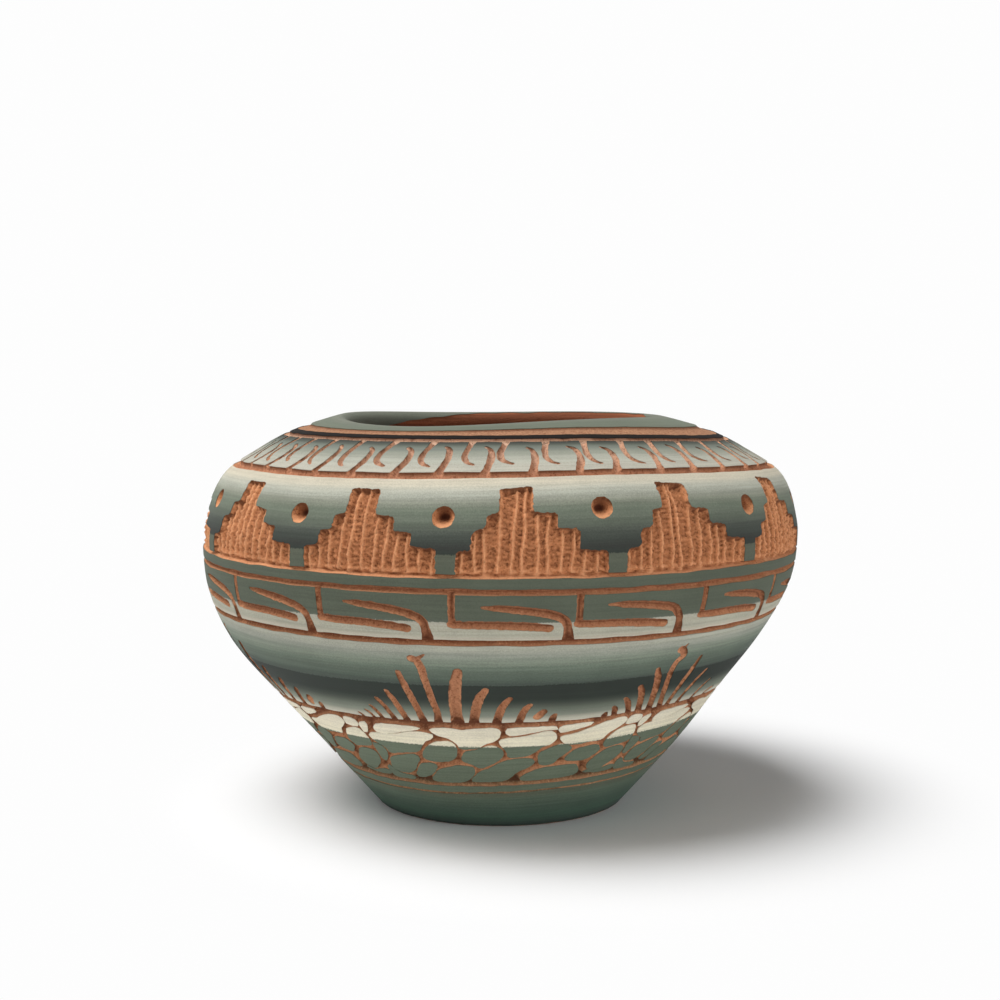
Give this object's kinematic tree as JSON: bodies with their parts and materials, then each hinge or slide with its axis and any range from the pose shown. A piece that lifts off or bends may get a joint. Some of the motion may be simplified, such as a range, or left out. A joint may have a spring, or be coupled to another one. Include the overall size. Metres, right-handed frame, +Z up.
{
  "type": "seed pot",
  "caption": "Wide squat clay pot with a turned-in shoulder and an open mouth, coated in bands of slip carved through to the clay.",
  "frame": {"origin": "middle of the flat foot, on the surface that the pot stands on", "axes": "+Z up the pot's turning axis, -Y towards the front, +X to the viewer's right"},
  "size_m": [0.1518, 0.1518, 0.0996],
  "materials": {
    "red_clay": "bare fired red clay, matt, carved and smoothed by hand",
    "green_slip": "matt grey-green slip",
    "stone_slip": "matt cream slip over grey-green slip, with a painted edge",
    "belly_slip": "matt slip shaded from pale grey through grey-green to charcoal",
    "meander_slip": "matt grey-green slip over a pale stripe",
    "shoulder_slip": "matt slip shaded from cream through grey-green to charcoal",
    "hook_slip": "matt slip shaded from dark green-grey to pale grey-green",
    "charcoal_slip": "matt charcoal slip"
  },
  "bodies": {
    "root": {"clay_body": "red_clay", "slip_foot": "green_slip", "slip_foot_line": "green_slip", "slip_stone_band": "stone_slip", "slip_belly_band": "belly_slip", "slip_meander_band": "meander_slip", "slip_plain_band": "green_slip", "slip_shoulder_band": "shoulder_slip", "slip_hook_band": "hook_slip", "slip_dark_line": "charcoal_slip", "slip_rim": "green_slip"}
  },
  "joints": []
}
